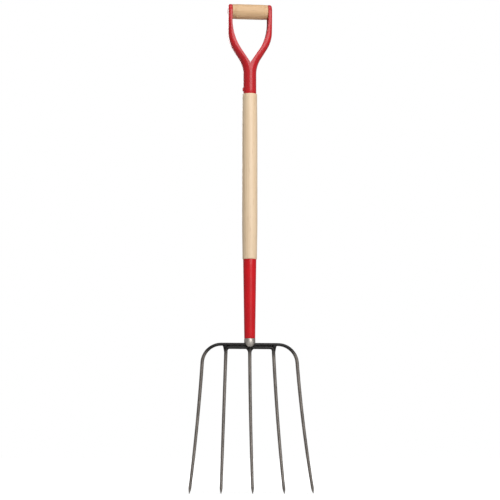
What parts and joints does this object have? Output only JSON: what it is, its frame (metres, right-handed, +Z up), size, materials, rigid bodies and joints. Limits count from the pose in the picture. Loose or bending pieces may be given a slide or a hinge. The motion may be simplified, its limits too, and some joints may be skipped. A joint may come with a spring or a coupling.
{
  "type": "digging fork",
  "caption": "Long-tined garden fork: forged steel head with dished tines, tapered ferrule, straight wooden shaft and steel D-handle with a turning wooden grip.",
  "frame": {"origin": "on the shaft's axis, halfway along the bare wood, where a rack's clip holds the tool", "axes": "+Z up the shaft towards the grip, +X along the grip, -Y towards the side the tines curve to"},
  "size_m": [0.2754, 0.0758, 1.0991],
  "materials": {
    "ash_wood": "clear varnished, satin",
    "grip_wood": "clear varnished, satin",
    "red_enamel": "gloss enamel",
    "ferrule_enamel": "gloss enamel",
    "tine_steel": "dark lacquer over forged steel, satin",
    "cap_steel": "bare, dull",
    "rod_steel": "bare, dull"
  },
  "bodies": {
    "fork": {"handle_shaft": "ash_wood", "grip_yoke": "red_enamel", "socket_rivet": "red_enamel", "grip_rod": "rod_steel", "ferrule": "ferrule_enamel", "ferrule_pin": "ferrule_enamel", "ferrule_cap": "cap_steel", "outer_tine_bow": "tine_steel", "inner_tine_bow": "tine_steel", "centre_tine": "tine_steel"},
    "grip": {"grip": "grip_wood"}
  },
  "joints": [
    {"name": "grip_spin", "type": "hinge", "parent": "fork", "child": "grip", "pos_m": [0, 0, 0.377], "axis": [1, 0, 0], "continuous": true}
  ]
}
